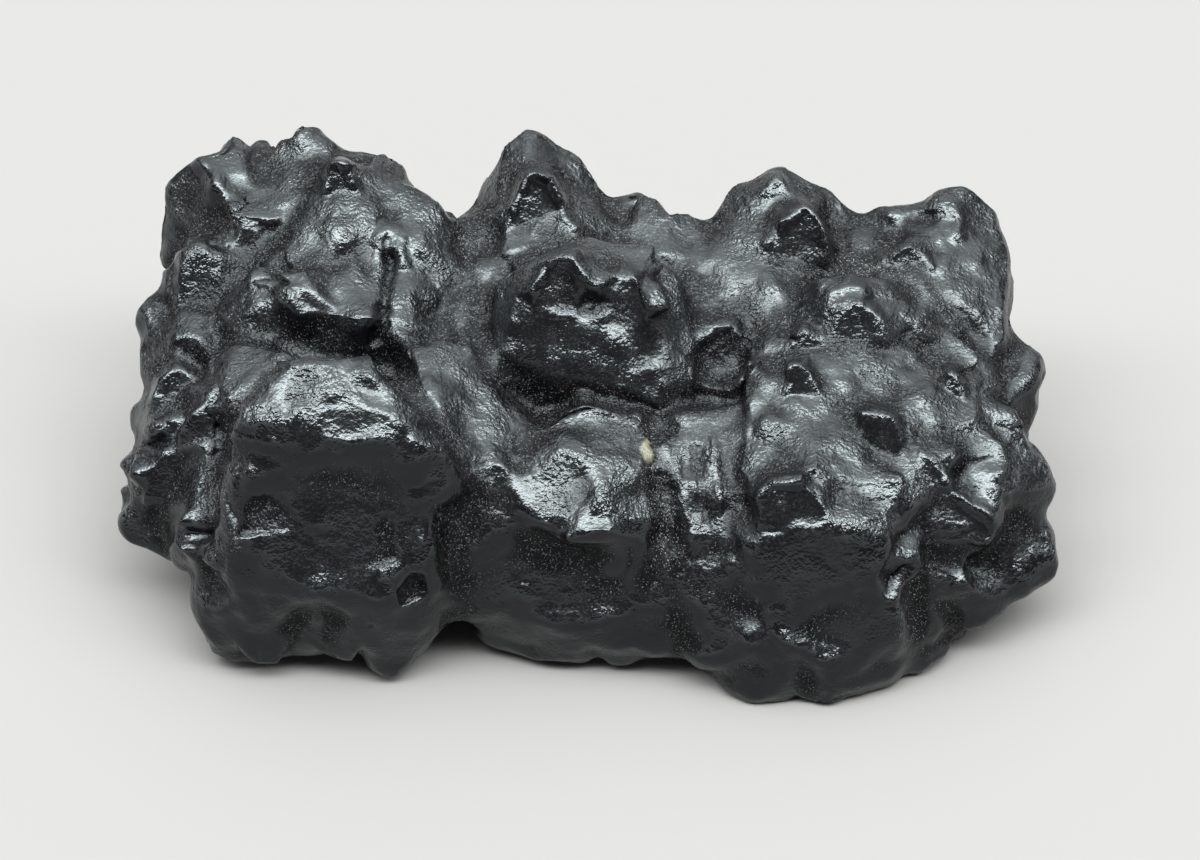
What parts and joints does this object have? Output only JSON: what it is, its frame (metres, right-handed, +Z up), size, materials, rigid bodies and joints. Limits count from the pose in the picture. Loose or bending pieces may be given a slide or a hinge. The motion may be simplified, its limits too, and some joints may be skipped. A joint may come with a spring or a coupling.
{
  "type": "iron-oxide stone concretion",
  "caption": "Polished dark stone of worn, grown-together crystal knobs, longer than it is wide, that lies on its own flat feet.",
  "frame": {"origin": "centre of the footprint at the floor", "axes": "+X along the stone's length, +Z up, the pictured front towards -Y"},
  "size_m": [0.0566, 0.0309, 0.0227],
  "materials": {
    "iron_stone": "wind-polished iron oxide stone, near black with a soft metallic sheen"
  },
  "bodies": {
    "root": {"stone": "iron_stone"}
  },
  "joints": []
}
